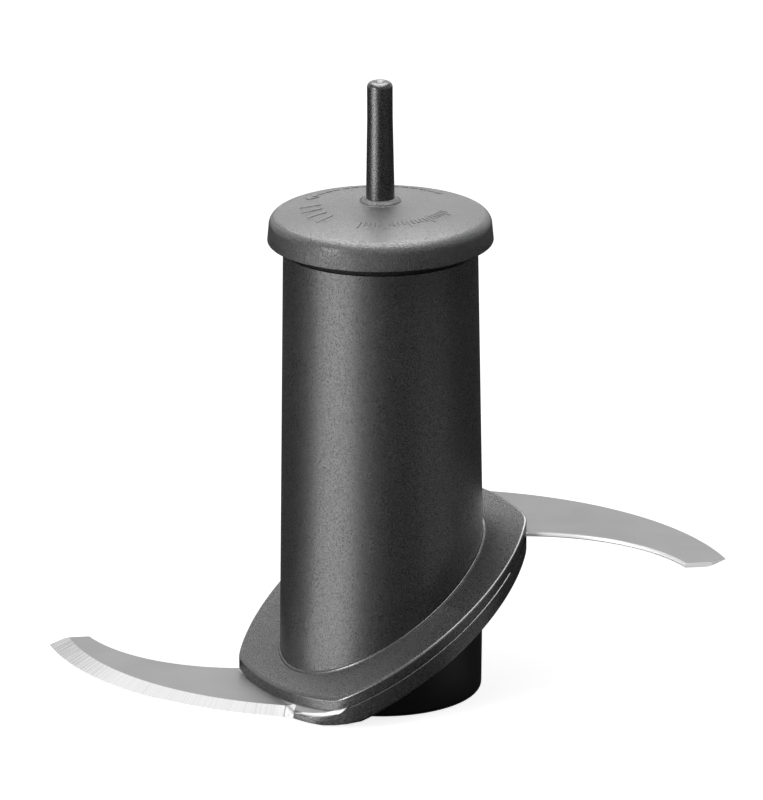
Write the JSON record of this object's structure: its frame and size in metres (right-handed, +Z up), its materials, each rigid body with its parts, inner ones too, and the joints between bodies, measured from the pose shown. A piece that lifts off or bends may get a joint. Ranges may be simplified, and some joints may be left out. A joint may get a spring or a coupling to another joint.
{
  "type": "food processor blade",
  "caption": "Chopping blade of a small food processor: an S-shaped ground steel plate clamped in a tilted collar on a tall hollow drive hub, with a cap and a centring pin.",
  "frame": {"origin": "on the hub's axis, at the lower face of the foot", "axes": "+Z up along the hub's axis towards the centring pin, +X to the right and +Y away from the viewer of the picture, so that the lower wing points to -X and the upper wing to +X"},
  "size_m": [0.1428, 0.0618, 0.1327],
  "materials": {
    "hub_plastic": "fine moulded grain",
    "cap_plastic": "fine moulded grain",
    "foot_plastic": "smooth moulded",
    "seal_rubber": "smooth",
    "blade_steel": "fine brushed, with a ground edge",
    "drive_steel": "turned",
    "sleeve_plastic": "smooth moulded",
    "bush_plastic": "smooth"
  },
  "bodies": {
    "root": {"tower_shell": "hub_plastic", "top_cap": "cap_plastic", "centring_pin": "cap_plastic", "cap_seal": "seal_rubber", "upper_collar": "hub_plastic", "blade_plate": "blade_steel", "lower_collar": "hub_plastic", "foot_sleeve": "foot_plastic", "clamp_studs": "drive_steel", "drive_sleeve": "sleeve_plastic", "sleeve_hanger": "sleeve_plastic", "drive_socket": "drive_steel", "retaining_ring": "drive_steel", "spindle_bush": "bush_plastic"}
  },
  "joints": []
}
